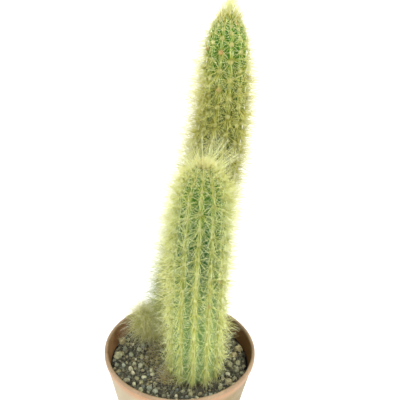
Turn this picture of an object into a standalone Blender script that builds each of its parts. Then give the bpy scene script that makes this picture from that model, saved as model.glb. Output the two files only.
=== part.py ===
"""A potted golden snake cactus: two ribbed, spiny stems and a young offset, in a round pot of gritty soil.

Metres, +Z up. The origin is the centre of the pot's underside, and -Y is the side with the shorter stem.
"""

import math
import random

import bmesh
import bpy
from mathutils import Euler, Vector, noise
from mathutils.bvhtree import BVHTree

MM = 0.001

# Pot: a tapered, thin-walled nursery pot with a bead round its rim
POT_HEIGHT = 90 * MM
RIM_RADIUS = 52.5 * MM
RIM_WIDTH = 2.4 * MM
RIM_HEIGHT = 4.0 * MM
RIM_ARC_STEPS = 4
WALL = 1.6 * MM
WALL_TAPER = 0.20
FLOOR = 2.0 * MM
FOOT_BEVEL = 1.5 * MM
POT_STEPS = 48
DRAIN_HOLES = 6
DRAIN_RADIUS = 3.5 * MM
DRAIN_CIRCLE = 21 * MM

# Soil: fills the pot to a little below its rim
GAP = 0.3 * MM
SOIL_LEVEL = 78 * MM
SOIL_RELIEF = 1.6 * MM
SOIL_WAVE = 5 * MM
SOIL_RINGS = 6
GRAIN_COUNT = 66
GRAIN_LEAST = 2.2 * MM
GRAIN_MOST = 3.8 * MM
GRAIN_SEED = 11
GRAIN_WIDTHS = (0.7, 1.0)
GRAIN_HEIGHTS = (0.6, 0.9)
GRAIN_LIFT = (0.0, 0.35)
GRAIN_STRAY = 0.15
GRAIN_CLEAR = 0.6
HOLE_STEPS = 32

# Stems: ribbed columns with a round top, whose feet stand in plain holes
ROOT_DEPTH = 20 * MM
FLARE = 4 * MM
RIB_DEPTH = 0.22
COLUMNS_PER_RIB = 4
DOME_ROWS = (0.03, 0.12, 0.27, 0.48, 0.73, 1.0)

# Areoles: one spine cushion to each rib and row, set in turn low and high so that neighbours are staggered
CUSHION_RADIUS = 0.85 * MM
CUSHION_SHARE = 0.4
CUSHION_RIM = 0.25 * MM
CUSHION_RISE = 0.8 * MM
STAGGER = (0.27, 0.77)
SPINE_SPREAD = 0.16
SPINE_LEAN = (24, 52)
CENTRAL_LEAN = (62, 84)
SPINE_LENGTHS = (0.85, 1.15)
CUSHION_TWIST = 0.5
TUFT_LEAN = (42, 82)
LEAST_SPINE = 2.5 * MM
SPINE_CLEAR = 1.2 * MM
SPINE_STATIONS = (0.4, 0.7, 1.0)
SPINE_TRIMS = 12
SPINE_TRIM = 0.84
SPINE_SEED = 5

# The edge of a mesh is smooth where its faces turn less than this
SMOOTH_ANGLE = math.radians(35)


class Stem:
    """One stem: where it stands, how its middle line runs, how thick it is and how it is ribbed."""

    def __init__(self, name, foot, top, lean, radii, dome, ribs, pitch, turn, spine, tuft):
        self.name = name
        self.foot = Vector(foot)
        self.top = top
        self.lean = lean
        self.radii = radii
        self.dome = dome
        self.ribs = ribs
        self.pitch = pitch
        self.turn = math.radians(turn)
        self.spine = spine
        self.tuft = tuft

    def middle(self, z):
        """A point on the middle line, which moves sideways in one smooth S between two heights."""
        low, high, way = self.lean
        share = min(1, max(0, (z - low) / (high - low)))
        return Vector((self.foot.x + way * share * share * (3 - 2 * share), self.foot.y, z))

    def column_radius(self, z):
        """The radius to the rib crests, before the top rounds it off."""
        for (z0, r0), (z1, r1) in zip(self.radii, self.radii[1:]):
            if z <= z1:
                return r0 + (r1 - r0) * max(0, z - z0) / (z1 - z0)
        return self.radii[-1][1]

    def point(self, z, turned, furrow):
        """A point on the skin, where the furrow's share is 0 on a rib's crest and 1 in a valley."""
        up = (self.middle(z + MM) - self.middle(z - MM)).normalized()
        below = max(0, self.top - z)
        rounding = math.sqrt(1 - max(0, 1 - below / self.dome) ** 2)
        radius = self.column_radius(z) * rounding * (1 - RIB_DEPTH * furrow)
        side = Vector((up.z, 0, -up.x))
        return self.middle(z) + radius * (math.cos(turned) * side + math.sin(turned) * Vector((0, 1, 0)))

    def skin_frame(self, z, turned, furrow):
        """A point on the skin, with the ways around the stem, up along it and straight out of it."""
        step = 0.2 * MM
        arc = step / self.column_radius(z)
        along = (self.point(z + step, turned, furrow) - self.point(z - step, turned, furrow)).normalized()
        around = (self.point(z, turned + arc, furrow) - self.point(z, turned - arc, furrow)).normalized()
        return self.point(z, turned, furrow), around, along, around.cross(along)

    def distance(self, point):
        """How far a point is from the column, taken as round."""
        z = min(point.z, self.top - self.dome)
        return (point - self.middle(z)).length - self.column_radius(z)

    def rows(self):
        """The heights of the rings of points, from the top down."""
        shoulder = self.top - self.dome
        lowest = SOIL_LEVEL + FLARE
        count = max(1, round((shoulder - lowest) / self.pitch))
        dome = [self.top - self.dome * share for share in DOME_ROWS]
        column = [shoulder - (shoulder - lowest) * i / count for i in range(1, count + 1)]
        return dome + column + [SOIL_LEVEL, SOIL_LEVEL - ROOT_DEPTH]


TALL = Stem(
    name="stem_tall",
    foot=(0, 27 * MM, 0),
    top=314 * MM,
    lean=(92 * MM, 272 * MM, 23 * MM),
    radii=((58 * MM, 9.5 * MM), (78 * MM, 14.2 * MM), (82 * MM, 15 * MM), (130 * MM, 16.6 * MM),
           (190 * MM, 16.4 * MM), (215 * MM, 15.4 * MM), (250 * MM, 13.8 * MM), (292 * MM, 12 * MM)),
    dome=22 * MM,
    ribs=12,
    pitch=12 * MM,
    turn=11,
    spine=8.5 * MM,
    tuft=11.5 * MM,
)
SHORT = Stem(
    name="stem_short",
    foot=(10.5 * MM, -13 * MM, 0),
    top=235 * MM,
    lean=(150 * MM, 234 * MM, 1.5 * MM),
    radii=((58 * MM, 11 * MM), (78 * MM, 15.8 * MM), (82 * MM, 16.6 * MM), (130 * MM, 17 * MM),
           (180 * MM, 16.5 * MM), (211 * MM, 14.4 * MM)),
    dome=24 * MM,
    ribs=12,
    pitch=11 * MM,
    turn=-3,
    spine=8.5 * MM,
    tuft=11.5 * MM,
)
OFFSET = Stem(
    name="offset",
    foot=(-22.5 * MM, 23 * MM, 0),
    top=102 * MM,
    lean=(78 * MM, 104 * MM, -4 * MM),
    radii=((58 * MM, 2.5 * MM), (78 * MM, 5.3 * MM), (82 * MM, 6 * MM), (94 * MM, 6.4 * MM)),
    dome=7 * MM,
    ribs=8,
    pitch=7 * MM,
    turn=5,
    spine=8 * MM,
    tuft=8 * MM,
)
STEMS = (TALL, SHORT, OFFSET)


def material(name, colour, roughness):
    made = bpy.data.materials.new(name)
    made.use_nodes = True
    shader = made.node_tree.nodes["Principled BSDF"]
    shader.inputs["Base Color"].default_value = (*colour, 1)
    shader.inputs["Roughness"].default_value = roughness
    shader.inputs["Metallic"].default_value = 0.0
    return made


def new_object(name, shape, collection, finish=None):
    """An object in the collection from a bmesh, which is freed."""
    mesh = bpy.data.meshes.new(name)
    shape.to_mesh(mesh)
    shape.free()
    if finish:
        mesh.materials.append(finish)
    made = bpy.data.objects.new(name, mesh)
    collection.objects.link(made)
    return made


def split_quads(shape):
    """Splits every face into triangles across its shorter way, so that its folds are the same each time."""
    bmesh.ops.triangulate(shape, faces=shape.faces, quad_method="SHORT_EDGE", ngon_method="BEAUTY")


def fuse(body, extras, operation):
    """Joins the body with the collection's objects, or cuts it with them, and removes them."""
    modifier = body.modifiers.new("fuse", "BOOLEAN")
    modifier.operation = operation
    modifier.operand_type = "COLLECTION"
    modifier.collection = extras
    graph = bpy.context.evaluated_depsgraph_get()
    mesh = bpy.data.meshes.new_from_object(body.evaluated_get(graph))
    body.modifiers.clear()
    body.data = mesh
    for extra in list(extras.objects):
        bpy.data.objects.remove(extra)
    bpy.data.collections.remove(extras)


def scratch_collection(name):
    made = bpy.data.collections.new(name)
    bpy.context.scene.collection.children.link(made)
    return made


def smooth(body):
    body.data.shade_smooth()
    body.data.set_sharp_from_angle(angle=SMOOTH_ANGLE)


def wall_radius(z):
    """The outside of the pot's wall under the rim's bead."""
    return RIM_RADIUS - RIM_WIDTH + WALL - WALL_TAPER * (POT_HEIGHT - RIM_HEIGHT - z)


def inner_radius(z):
    return wall_radius(z) - WALL


def pot_profile():
    """Half of the pot's section: along the floor, up the inside, over the bead and down the outside."""
    bead = RIM_WIDTH / 2
    arc = []
    for i in range(RIM_ARC_STEPS + 1):
        angle = math.pi * (1 - i / RIM_ARC_STEPS)
        arc.append((RIM_RADIUS - bead + bead * math.cos(angle), POT_HEIGHT - bead + bead * math.sin(angle)))
    under_bead = POT_HEIGHT - RIM_HEIGHT
    return [
        (0, FLOOR),
        (inner_radius(FLOOR), FLOOR),
        (inner_radius(under_bead), under_bead),
        *arc,
        (RIM_RADIUS, under_bead + bead / 2),
        (RIM_RADIUS - bead / 3, under_bead),
        (wall_radius(under_bead), under_bead),
        (wall_radius(FOOT_BEVEL), FOOT_BEVEL),
        (wall_radius(0) - FOOT_BEVEL, 0),
        (0, 0),
    ]


def build_pot(collection):
    section = bmesh.new()
    points = [section.verts.new((r, 0, z)) for r, z in pot_profile()]
    for a, b in zip(points, points[1:]):
        section.edges.new((a, b))
    pot = new_object("pot", section, collection, material("clay_plastic", (0.52, 0.27, 0.14), 0.5))
    turn = pot.modifiers.new("turn", "SCREW")
    turn.steps = turn.render_steps = POT_STEPS
    turn.use_merge_vertices = True
    turn.merge_threshold = 0.00001
    holes = scratch_collection("drain_holes")
    for i in range(DRAIN_HOLES):
        angle = 2 * math.pi * i / DRAIN_HOLES
        drill = bmesh.new()
        bmesh.ops.create_cone(
            drill, cap_ends=True, segments=12, radius1=DRAIN_RADIUS, radius2=DRAIN_RADIUS, depth=4 * FLOOR
        )
        place = Vector((DRAIN_CIRCLE * math.cos(angle), DRAIN_CIRCLE * math.sin(angle), FLOOR / 2))
        bmesh.ops.translate(drill, verts=drill.verts, vec=place)
        new_object("drain_hole", drill, holes)
    fuse(pot, holes, "DIFFERENCE")
    smooth(pot)


def soil_height(x, y):
    return SOIL_LEVEL + SOIL_RELIEF * noise.noise(Vector((x, y, 0)) / SOIL_WAVE)


def soil_body():
    """A plug that fills the pot, with an uneven top: a sphere's rows laid out as rings on the plug."""
    plug = bmesh.new()
    rows = SOIL_RINGS + 2
    bmesh.ops.create_uvsphere(plug, u_segments=POT_STEPS, v_segments=rows, radius=1)
    bottom = FLOOR + GAP
    for vert in plug.verts:
        row = round(math.acos(max(-1, min(1, vert.co.z))) / math.pi * rows)
        way = Vector((vert.co.x, vert.co.y)).normalized() if 0 < row < rows else Vector((0, 0))
        if row > SOIL_RINGS:
            radius = inner_radius(bottom) - GAP
            vert.co = (way.x * radius, way.y * radius, bottom)
        else:
            radius = (inner_radius(SOIL_LEVEL) - GAP) * row / SOIL_RINGS
            x, y = way.x * radius, way.y * radius
            height = SOIL_LEVEL if row == SOIL_RINGS else soil_height(x, y)
            vert.co = (x, y, height)
    split_quads(plug)
    return plug


def grain(draw, x, y, size):
    """One squashed, turned stone, sunk to about half its height."""
    stone = bmesh.new()
    bmesh.ops.create_icosphere(stone, subdivisions=1, radius=size)
    squash = (1, draw.uniform(*GRAIN_WIDTHS), draw.uniform(*GRAIN_HEIGHTS))
    bmesh.ops.scale(stone, verts=stone.verts, vec=squash)
    turned = Euler([draw.uniform(0, 2 * math.pi) for _ in range(3)]).to_matrix()
    bmesh.ops.rotate(stone, verts=stone.verts, matrix=turned)
    lift = draw.uniform(*GRAIN_LIFT) * size
    bmesh.ops.translate(stone, verts=stone.verts, vec=(x, y, soil_height(x, y) + lift))
    return stone


def build_soil(collection):
    soil = new_object("soil", soil_body(), collection, material("gritty_soil", (0.16, 0.13, 0.10), 0.95))
    draw = random.Random(GRAIN_SEED)
    grains = scratch_collection("grains")
    most = inner_radius(SOIL_LEVEL) - GRAIN_MOST - 2 * GAP
    golden = math.pi * (3 - math.sqrt(5))
    for i in range(GRAIN_COUNT):
        radius = most * math.sqrt((i + 0.5) / GRAIN_COUNT)
        angle = i * golden + draw.uniform(-GRAIN_STRAY, GRAIN_STRAY)
        x, y = radius * math.cos(angle), radius * math.sin(angle)
        size = draw.uniform(GRAIN_LEAST, GRAIN_MOST)
        spot = Vector((x, y))
        clear = min((spot - stem.foot.xy).length - stem.column_radius(SOIL_LEVEL) for stem in STEMS)
        if clear > GRAIN_CLEAR * size:
            new_object("grain", grain(draw, x, y, size), grains)
    fuse(soil, grains, "UNION")
    holes = scratch_collection("stem_holes")
    for stem in STEMS:
        new_object("stem_hole", stem_hole(stem), holes)
    fuse(soil, holes, "DIFFERENCE")


def stem_hole(stem):
    """The plain tapered hole in the soil that a stem's foot stands in."""
    (bottom, low), (level, high) = stem.radii[:2]
    slope = (high - low) / (level - bottom)
    depth = level - bottom + GAP + FLARE
    hole = bmesh.new()
    narrow = low + GAP - slope * GAP
    wide = narrow + slope * depth
    bmesh.ops.create_cone(
        hole, cap_ends=True, segments=HOLE_STEPS, radius1=narrow, radius2=wide, depth=depth
    )
    bmesh.ops.translate(hole, verts=hole.verts, vec=(stem.foot.x, stem.foot.y, bottom - GAP + depth / 2))
    return hole


def has_room(stem, point):
    """Whether a spine of this stem may pass here: nearer to it than to the others, clear of soil and pot."""
    own = stem.distance(point) + SPINE_CLEAR
    if any(own > other.distance(point) for other in STEMS if other is not stem):
        return False
    inside_rim = point.xy.length < inner_radius(SOIL_LEVEL) - SPINE_CLEAR
    return point.z > (SOIL_LEVEL + GRAIN_MOST + SPINE_CLEAR if inside_rim else POT_HEIGHT + SPINE_CLEAR)


def spine_length(stem, start, way, length):
    """The length of a spine, cut back until the whole of it has room, or 0 where too little is left."""
    while length >= LEAST_SPINE:
        if all(has_room(stem, start + way * length * share) for share in SPINE_STATIONS):
            return length
        length *= SPINE_TRIM
    return 0


class Spines:
    """The spines of one stem: each is a face of the skin drawn out to a point."""

    def __init__(self, shape, stem, draw):
        self.shape = shape
        self.stem = stem
        self.draw = draw
        self.tips = {}

    def grow(self, face, flat, out, lean, length):
        """Draws the face out, leaning from the flat way towards straight out by an angle in degrees."""
        angle = math.radians(self.draw.uniform(*lean))
        aside = Vector([self.draw.gauss(0, SPINE_SPREAD) for _ in range(3)])
        way = (flat.normalized() * math.cos(angle) + out * math.sin(angle) + aside).normalized()
        start = face.calc_center_median()
        length = spine_length(self.stem, start, way, length * self.draw.uniform(*SPINE_LENGTHS))
        if length:
            tip = bmesh.ops.poke(self.shape, faces=[face])["verts"][0]
            tip.co = start + way * length
            self.tips[tip] = start

    def part(self):
        """Trims every spine that another part of the stem cuts through, until none is."""
        for _ in range(SPINE_TRIMS):
            self.shape.faces.ensure_lookup_table()
            tree = BVHTree.FromBMesh(self.shape)
            crossed = set()
            for a, b in tree.overlap(tree):
                first, second = self.shape.faces[a], self.shape.faces[b]
                if not set(first.verts) & set(second.verts):
                    crossed.update(v for v in (*first.verts, *second.verts) if v in self.tips)
            if not crossed:
                return
            for tip in crossed:
                tip.co = self.tips[tip].lerp(tip.co, SPINE_TRIM)


def build_stem(stem, collection, flesh):
    """A sphere's rows and columns laid out as the ribbed column, then the spines drawn out of its skin."""
    rows = stem.rows()
    columns = stem.ribs * COLUMNS_PER_RIB
    shape = bmesh.new()
    bmesh.ops.create_uvsphere(shape, u_segments=columns, v_segments=len(rows) + 1, radius=1)

    def row_of(place):
        return math.acos(max(-1, min(1, place.z))) / math.pi * (len(rows) + 1)

    def column_of(place):
        return math.atan2(place.y, place.x) / (2 * math.pi) * columns % columns

    tuft, cushions = [], []
    for face in shape.faces:
        centre = face.calc_center_median()
        normal = centre.normalized()
        row, column = int(row_of(normal)), int(column_of(normal))
        rib, place = divmod(column, COLUMNS_PER_RIB)
        if row == 0 and column % 2 == 0:
            tuft.append((column, face))
        if place == 0 and 1 < row < len(rows) - 1:
            in_dome = row < len(DOME_ROWS)
            if not in_dome or (row + rib) % 2:
                share = STAGGER[rib % 2]
                z = rows[row - 1] + (rows[row] - rows[row - 1]) * share
                cushions.append((z, stem.turn + 2 * math.pi * rib / stem.ribs, face))
    cushions.sort(key=lambda cushion: cushion[:2])

    for vert in shape.verts:
        row, column = round(row_of(vert.co)), column_of(vert.co)
        if row == 0:
            vert.co = stem.middle(stem.top)
        elif row > len(rows):
            vert.co = stem.middle(rows[-1])
        else:
            rib_turn = (column - 0.5) / COLUMNS_PER_RIB
            furrow = (1 - math.cos(2 * math.pi * rib_turn)) / 2 if row < len(rows) - 1 else 0
            vert.co = stem.point(rows[row - 1], stem.turn + 2 * math.pi * rib_turn / stem.ribs, furrow)

    spines = Spines(shape, stem, random.Random(SPINE_SEED))
    for _, face in sorted(tuft, key=lambda spot: spot[0]):
        flat = face.calc_center_median() - stem.middle(stem.top)
        spines.grow(face, Vector((flat.x, flat.y, 0)), Vector((0, 0, 1)), TUFT_LEAN, stem.tuft)

    bmesh.ops.inset_individual(shape, faces=[face for _, _, face in cushions], thickness=0.1 * MM)
    crest_furrow = (1 - math.cos(math.pi / COLUMNS_PER_RIB)) / 2
    for z, turned, face in cushions:
        centre, around, along, out = stem.skin_frame(z, turned, crest_furrow)
        crest_width = 2 * math.pi * (centre - stem.middle(z)).xy.length / columns
        radius = min(CUSHION_RADIUS, CUSHION_SHARE * crest_width)
        twist = spines.draw.uniform(-CUSHION_TWIST, CUSHION_TWIST)
        middle = face.calc_center_median()
        for vert in face.verts:
            aside = vert.co - middle
            corner = math.atan2(math.copysign(1, aside.dot(along)), math.copysign(1, aside.dot(around)))
            flat = math.cos(corner + twist) * around + math.sin(corner + twist) * along
            vert.co = centre + radius * flat + out * CUSHION_RIM
        made = bmesh.ops.poke(shape, faces=[face])
        made["verts"][0].co = centre + out * CUSHION_RISE
        sides = []
        for side in made["faces"]:
            flat = side.calc_center_median() - centre
            sides.append((math.atan2(flat.dot(along), flat.dot(around)), flat - out * flat.dot(out), side))
        sides.sort(key=lambda spot: spot[0])
        central = spines.draw.randrange(len(sides))
        for i, (_, flat, side) in enumerate(sides):
            spines.grow(side, flat, out, CENTRAL_LEAN if i == central else SPINE_LEAN, stem.spine)
    spines.part()
    split_quads(shape)
    body = new_object(stem.name, shape, collection, flesh)
    smooth(body)


def build_cactus():
    for leftover in list(bpy.data.objects):
        bpy.data.objects.remove(leftover)
    cactus = scratch_collection("potted_golden_snake_cactus")
    build_pot(cactus)
    build_soil(cactus)
    flesh = material("spiny_green_flesh", (0.27, 0.40, 0.16), 0.55)
    for stem in STEMS:
        build_stem(stem, cactus, flesh)


build_cactus()
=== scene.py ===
"""The looks of a potted golden snake cactus: two ribbed, golden-spined stems and a young offset in a pot.

Metres, +Z up. The origin is the centre of the pot's underside, -Y is the side with the shorter stem, and the
tall stem leans towards +X.
"""

import random
from math import cos, exp, hypot, log, pi, radians, sin, sqrt, tau

import bmesh
import bpy
from mathutils import Euler, Matrix, Vector, noise


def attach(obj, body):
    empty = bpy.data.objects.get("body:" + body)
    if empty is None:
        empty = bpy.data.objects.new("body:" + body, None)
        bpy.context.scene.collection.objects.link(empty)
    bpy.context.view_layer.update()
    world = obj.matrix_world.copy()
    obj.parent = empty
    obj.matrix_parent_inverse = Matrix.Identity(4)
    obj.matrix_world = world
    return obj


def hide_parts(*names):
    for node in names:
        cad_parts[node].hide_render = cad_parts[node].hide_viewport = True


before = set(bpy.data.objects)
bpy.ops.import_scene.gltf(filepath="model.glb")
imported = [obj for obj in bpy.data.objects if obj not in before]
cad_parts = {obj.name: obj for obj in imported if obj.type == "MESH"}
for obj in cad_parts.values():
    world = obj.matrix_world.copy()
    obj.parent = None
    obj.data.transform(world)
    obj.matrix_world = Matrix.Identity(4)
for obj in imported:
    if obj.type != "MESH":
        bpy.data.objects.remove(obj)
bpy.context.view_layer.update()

# The studio: a white table in a white room, with a broad soft light from above the camera and one from each
# side. The camera looks down at the plant from a little above its top, and is turned slightly, as a phone in
# the hand is.
scene = bpy.context.scene
LENS_MM = 57.6
CAMERA_PLACE = (0.0102, -0.3517, 0.3875)
CAMERA_TILT = radians(62.7)
CAMERA_TURN = radians(2.1)
ROOM_GLOW = 0.98
# Each light: its strength, then its spread and its turn in degrees
LIGHTS = {
    "key_light": (0.85, 40, (32, 10, 0)),
    "left_light": (1, 60, (60, 0, -66)),
    "right_light": (1.15, 60, (58, 0, 72)),
}
TABLE_HALF = 5
TABLE_WHITE = (0.93, 0.93, 0.92)
TABLE_GLOW = 0.22


def new_node(tree, kind, inputs=None, **settings):
    """A node of that kind with its settings, and a value or a feeding socket for each named input."""
    made = tree.nodes.new(kind)
    for name, value in settings.items():
        setattr(made, name, value)
    for name, value in (inputs or {}).items():
        if isinstance(value, bpy.types.NodeSocket):
            tree.links.new(value, made.inputs[name])
        else:
            made.inputs[name].default_value = value
    return made


def new_material(name, **shader_values):
    """A material whose Principled shader has these plain values, with its tree and that shader."""
    made = bpy.data.materials.new(name)
    made.use_nodes = True
    shader = made.node_tree.nodes["Principled BSDF"]
    for socket, value in shader_values.items():
        shader.inputs[socket.replace("_", " ")].default_value = value
    return made, made.node_tree, shader


def mesh_from(name, shape):
    """The bmesh as a mesh, with the bmesh freed."""
    mesh = bpy.data.meshes.new(name)
    shape.to_mesh(mesh)
    shape.free()
    return mesh


def new_object(name, shape, material):
    """The bmesh as an object at the origin, with one material."""
    mesh = mesh_from(name, shape)
    mesh.materials.append(material)
    mesh.shade_smooth()
    made = bpy.data.objects.new(name, mesh)
    scene.collection.objects.link(made)
    return made


camera = bpy.data.objects.new("camera", bpy.data.cameras.new("camera"))
scene.collection.objects.link(camera)
camera.data.lens = LENS_MM
camera.location = CAMERA_PLACE
camera.rotation_mode = "ZYX"
camera.rotation_euler = (CAMERA_TILT, 0, CAMERA_TURN)
scene.camera = camera
scene.view_settings.view_transform = "Standard"

room = bpy.data.worlds.new("white_room")
room.use_nodes = True
glow = room.node_tree.nodes["Background"]
glow.inputs["Color"].default_value = (1, 1, 1, 1)
glow.inputs["Strength"].default_value = ROOM_GLOW
scene.world = room

for name, (strength, spread, turn) in LIGHTS.items():
    light = bpy.data.objects.new(name, bpy.data.lights.new(name, "SUN"))
    scene.collection.objects.link(light)
    light.data.energy = strength
    light.data.angle = radians(spread)
    light.rotation_euler = [radians(angle) for angle in turn]

white, _, _ = new_material(
    "white_table", Base_Color=(*TABLE_WHITE, 1), Roughness=0.6,
    Emission_Color=(1, 1, 1, 1), Emission_Strength=TABLE_GLOW,
)
sheet = bmesh.new()
bmesh.ops.create_grid(sheet, x_segments=1, y_segments=1, size=TABLE_HALF)
table = new_object("table", sheet, white)

# The pot: a thin-walled nursery pot in terracotta-coloured plastic, with a rolled bead on its rim and a flat
# foot with drain holes. Painted light makes its wall pale outside, and painted shade makes it dark inside;
# both are darker on the right, and a painted shadow lies where the soil has shrunk from the wall. One
# section is turned round its axis, and the holes are cut from it.
MM = 0.001
POT_HEIGHT = 90 * MM
RIM_RADIUS = 52.5 * MM
RIM_WIDTH = 2.4 * MM
RIM_HEIGHT = 4 * MM
WALL = 1.6 * MM
WALL_TAPER = 0.2
POT_FLOOR = 2 * MM
FOOT_BEVEL = 1.5 * MM
FLOOR_FILLET = 3 * MM
MID_WALL = 40 * MM
# The hollow under the bead: how far its points stand out from the wall, and how far up from the bead
LEDGE = ((0.25 * MM, 0), (0.02 * MM, -0.3 * MM))
POT_STEPS = 160
ARC_STEPS = 14
FILLET_STEPS = 6
BEVEL_STEPS = 5
DRAIN_HOLES = 6
DRAIN_RADIUS = 3.5 * MM
DRAIN_CIRCLE = 21 * MM
DRAIN_STEPS = 28
SMOOTH_ANGLE = radians(38)
MERGE_WITHIN = 0.01 * MM
# The mottle of a finish: how many patches and how many grains go in a metre, and how deep the grain is
POT_MOTTLE = (90, 900)
POT_GRAIN = 0.12 * MM
# The sum of the mottle's two noises over which its mask rises
MOTTLE_EDGE = (0.75, 1.25)
# The pot's colours, in darker and paler patches or plain: its lip and its clay, painted light on the outside
# of the wall and painted shade on the right of it, the foot's clay, painted shade inside the wall and more
# of it on the right, and a painted shadow where the soil has shrunk from the wall
LIP = ((0.27, 0.18, 0.1), (0.37, 0.26, 0.155))
CLAY = ((0.4, 0.22, 0.11), (0.48, 0.29, 0.16))
OUTER_LIGHT = ((0.35, 0.275, 0.155), (0.44, 0.37, 0.235))
OUTER_SHADE_AT_RIGHT = (0.24, 0.17, 0.06)
FOOT_CLAY = ((0.37, 0.225, 0.12), (0.46, 0.31, 0.18))
INNER_SHADE = ((0.24, 0.115, 0.05), (0.48, 0.27, 0.135))
INNER_SHADE_AT_RIGHT = (0.2, 0.095, 0.035)
GAP_SHADOW = (0.022, 0.022, 0.026)
# Where each sets in, from none of it to all of it: how deep in the wall, and at what height or how far right
SKIN_DEPTHS = (1.5 * MM, 0.9 * MM)
LIP_FROM = (POT_HEIGHT - 2.6 * MM, POT_HEIGHT - 1 * MM)
OUTER_LIGHT_FROM = (POT_HEIGHT - 4 * MM, POT_HEIGHT - 11 * MM)
FOOT_FROM = (62 * MM, 22 * MM)
GAP_SHADOW_FROM = (77.5 * MM, 76.5 * MM)
SHADED_RIGHT_FROM = (5 * MM, 42 * MM)


def wall_radius(z):
    """The outside of the pot's wall under the rim's bead."""
    return RIM_RADIUS - RIM_WIDTH + WALL - WALL_TAPER * (POT_HEIGHT - RIM_HEIGHT - z)


def inner_radius(z):
    return wall_radius(z) - WALL


def arc(centre_r, centre_z, radius, start, end, steps=ARC_STEPS):
    """Points of the section on an arc, between two angles in degrees."""
    turns = [radians(start + (end - start) * i / steps) for i in range(steps + 1)]
    return [(centre_r + radius * cos(t), centre_z + radius * sin(t)) for t in turns]


def turned_shape(section):
    """The section's points spun round the Z axis, with the doubles on the axis merged."""
    shape = bmesh.new()
    points = [shape.verts.new((r, 0, z)) for r, z in section]
    edges = [shape.edges.new(pair) for pair in zip(points, points[1:])]
    bmesh.ops.spin(
        shape, geom=points + edges, axis=(0, 0, 1), cent=(0, 0, 0), angle=tau,
        steps=POT_STEPS, use_merge=True,
    )
    bmesh.ops.remove_doubles(shape, verts=shape.verts, dist=MERGE_WITHIN)
    bmesh.ops.recalc_face_normals(shape, faces=shape.faces)
    return shape


def cut(body, cutter):
    """Cuts the body with the cutter, and removes it."""
    modifier = body.modifiers.new("cut", "BOOLEAN")
    modifier.operation = "DIFFERENCE"
    modifier.object = cutter
    graph = bpy.context.evaluated_depsgraph_get()
    mesh = bpy.data.meshes.new_from_object(body.evaluated_get(graph))
    body.modifiers.clear()
    body.data = mesh
    bpy.data.objects.remove(cutter)


def soft_mask(tree, value, low, high, rise="SMOOTHSTEP"):
    """0 below the low value, 1 above the high one, and smooth between them unless another rise is given."""
    reach = {"Value": value, "From Min": low, "From Max": high}
    return new_node(tree, "ShaderNodeMapRange", reach, interpolation_type=rise).outputs["Result"]


def blended(tree, factor, first, second, blend_type="MIX"):
    """Two colours mixed by a factor. Each may be a socket or three numbers."""
    made = new_node(tree, "ShaderNodeMix", data_type="RGBA", blend_type=blend_type)
    for socket, value in ((made.inputs[0], factor), (made.inputs[6], first), (made.inputs[7], second)):
        if isinstance(value, bpy.types.NodeSocket):
            tree.links.new(value, socket)
        else:
            socket.default_value = (*value, 1) if isinstance(value, tuple) else value
    return made.outputs[2]


def object_place(tree):
    """The point on the surface in the object's own frame, as a vector and as its three parts."""
    place = new_node(tree, "ShaderNodeTexCoord").outputs["Object"]
    return place, new_node(tree, "ShaderNodeSeparateXYZ", {"Vector": place})


def mottle_group():
    """Shared by every finish here: cloudy patches with a finer grain in them, as a mask and as a height."""
    group = bpy.data.node_groups.new("mottle", "ShaderNodeTree")
    for name, way in (("Patches", "INPUT"), ("Grain", "INPUT"), ("Mask", "OUTPUT"), ("Height", "OUTPUT")):
        group.interface.new_socket(name, in_out=way, socket_type="NodeSocketFloat")
    given = new_node(group, "NodeGroupInput")
    place, _ = object_place(group)
    patches = new_node(
        group, "ShaderNodeTexNoise", {"Vector": place, "Scale": given.outputs["Patches"], "Detail": 3}
    )
    grain = new_node(
        group, "ShaderNodeTexNoise",
        {"Vector": place, "Scale": given.outputs["Grain"], "Detail": 5, "Roughness": 0.65},
    )
    both = new_node(
        group, "ShaderNodeMath", {0: patches.outputs["Fac"], 1: grain.outputs["Fac"]}, operation="ADD"
    )
    put_out = new_node(
        group, "NodeGroupOutput",
        {"Mask": soft_mask(group, both.outputs["Value"], *MOTTLE_EDGE), "Height": grain.outputs["Fac"]},
    )
    put_out.is_active_output = True
    return group


MOTTLE = mottle_group()


def mottled(tree, patches, grain):
    """The shared mottle with this material's own sizes."""
    made = new_node(tree, "ShaderNodeGroup", {"Patches": patches, "Grain": grain}, node_tree=MOTTLE)
    return made.outputs["Mask"], made.outputs["Height"]


def finish(tree, shader, colour, height, depth):
    """Feeds the shader its colour, and its normal from a bump of that depth."""
    tree.links.new(colour, shader.inputs["Base Color"])
    bump = new_node(tree, "ShaderNodeBump", {"Height": height, "Distance": depth, "Strength": 1})
    tree.links.new(bump.outputs["Normal"], shader.inputs["Normal"])


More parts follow.
